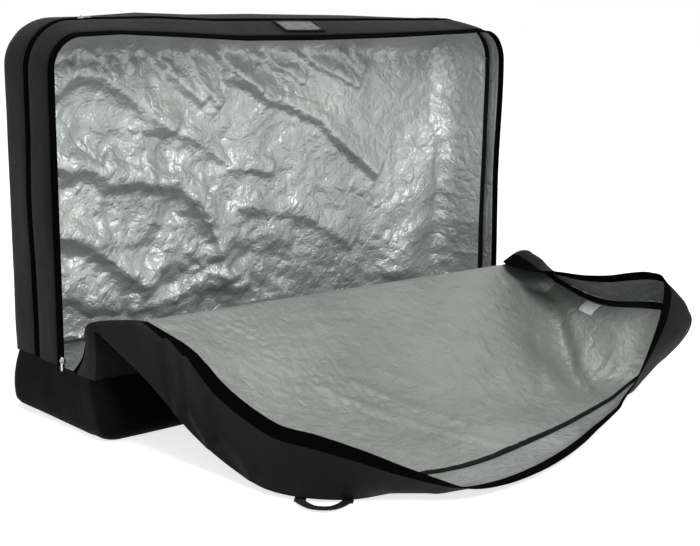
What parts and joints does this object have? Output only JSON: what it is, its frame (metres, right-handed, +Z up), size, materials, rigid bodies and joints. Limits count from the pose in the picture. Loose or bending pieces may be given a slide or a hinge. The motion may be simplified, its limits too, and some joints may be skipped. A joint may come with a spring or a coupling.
{
  "type": "soft bike travel bag",
  "caption": "Soft zipped travel bag for a bicycle, standing open: upright silver-lined shell on a boxed base, its front cover folded down onto the floor.",
  "frame": {"origin": "centre of the base's footprint, on the floor", "axes": "+X along the bag's length, to the right as seen from the open side; +Y to the back panel; +Z up"},
  "size_m": [1.3251, 1.1542, 0.8865],
  "materials": {
    "nylon": "coated woven nylon, slightly shiny black",
    "base_nylon": "heavier matt black coated cloth",
    "silver": "crumpled silver-coated lining",
    "foam": "closed-cell foam",
    "board": "stiff plastic board",
    "binding": "black seam binding",
    "zip_tape": "woven tape with a nylon coil",
    "webbing": "flat woven webbing",
    "clear_film": "clear film",
    "card": "blank card",
    "label": "bare woven label",
    "nickel": "nickel-plated zinc"
  },
  "bodies": {
    "bag": {"base_bottom": "base_nylon", "base_front": "base_nylon", "base_rear": "base_nylon", "base_end_left": "base_nylon", "base_end_right": "base_nylon", "base_board": "board", "base_lining": "silver", "rear_lining": "silver", "gusset_lining_rear": "silver", "gusset_lining_front": "silver", "rear_padding": "foam", "rear_panel": "nylon", "rear_gusset_left": "nylon", "rear_gusset_top": "nylon", "rear_gusset_right": "nylon", "front_gusset_left": "nylon", "front_gusset_top": "nylon", "front_gusset_right": "nylon", "cover_riser": "nylon", "riser_gusset_left": "nylon", "riser_gusset_right": "nylon", "mid_seam_binding": "binding", "pocket_frame": "binding", "expansion_zip": "zip_tape", "main_zip_shell": "zip_tape", "riser_zip_left": "zip_tape", "riser_zip_right": "zip_tape", "pocket_window": "clear_film", "pocket_card": "card"},
    "main_slider_left": {"main_slider_left": "nickel"},
    "main_pull_left": {"main_pull_left": "nickel"},
    "main_slider_right": {"main_slider_right": "nickel"},
    "main_pull_right": {"main_pull_right": "nickel"},
    "expansion_slider": {"expansion_slider": "nickel"},
    "expansion_pull": {"expansion_pull": "nickel"},
    "cover_slope": {"cover_slope": "nylon", "slope_rim_left": "nylon", "slope_rim_right": "nylon", "slope_zip_left": "zip_tape", "slope_zip_right": "zip_tape", "slope_binding_left": "binding", "slope_binding_right": "binding", "care_label": "label"},
    "cover_apron": {"cover_apron": "nylon", "apron_rim_left": "nylon", "apron_rim_right": "nylon", "apron_zip_left": "zip_tape", "apron_zip_right": "zip_tape", "apron_binding": "binding", "loop_end_left": "webbing", "loop_end_right": "webbing"},
    "cover_lip": {"cover_lip": "nylon", "lip_zip": "zip_tape"},
    "grab_loop": {"grab_loop": "webbing"}
  },
  "joints": [
    {"name": "cover_fold", "type": "hinge", "parent": "bag", "child": "cover_slope", "pos_m": [0, -0.184, 0.245], "axis": [-1, 0, 0], "range_deg": [0, 110]},
    {"name": "cover_middle_fold", "type": "hinge", "parent": "cover_slope", "child": "cover_apron", "pos_m": [0, -0.452, 0.066], "axis": [-1, 0, 0], "range_deg": [-20, 0]},
    {"name": "cover_lip_fold", "type": "hinge", "parent": "cover_apron", "child": "cover_lip", "pos_m": [0.073, -0.776, 0.0145], "axis": [-0.9694, -0.2456, 0], "range_deg": [0, 90]},
    {"name": "grab_loop_swing", "type": "hinge", "parent": "cover_apron", "child": "grab_loop", "pos_m": [-0.51464, -0.7998, 0.00414], "axis": [-0.7277, 0.6859, 0], "range_deg": [0, 75]},
    {"name": "main_zip_left", "type": "slide", "parent": "bag", "child": "main_slider_left", "axis": [0, 0, 1], "range_m": [0, 0.58]},
    {"name": "main_zip_right", "type": "slide", "parent": "bag", "child": "main_slider_right", "axis": [0, 0, 1], "range_m": [0, 0.58]},
    {"name": "expansion_zip_run", "type": "slide", "parent": "bag", "child": "expansion_slider", "axis": [1, 0, 0], "range_m": [0, 1.045]},
    {"name": "main_pull_left_swing", "type": "hinge", "parent": "main_slider_left", "child": "main_pull_left", "pos_m": [-0.65126, -0.03828, 0.1464], "axis": [-0.0208, 0.9998, 0], "range_deg": [0, 175]},
    {"name": "main_pull_right_swing", "type": "hinge", "parent": "main_slider_right", "child": "main_pull_right", "pos_m": [0.65126, -0.03828, 0.1464], "axis": [-0.0208, -0.9998, 0], "range_deg": [0, 175]},
    {"name": "expansion_pull_swing", "type": "hinge", "parent": "expansion_slider", "child": "expansion_pull", "pos_m": [-0.515, 0.079, 0.8817], "axis": [0, -1, 0], "range_deg": [0, 175]}
  ],
  "couplings": [
    {"joint": "cover_middle_fold", "follows": "cover_fold", "ratio": -0.17},
    {"joint": "cover_lip_fold", "follows": "cover_fold", "ratio": 0.81}
  ]
}
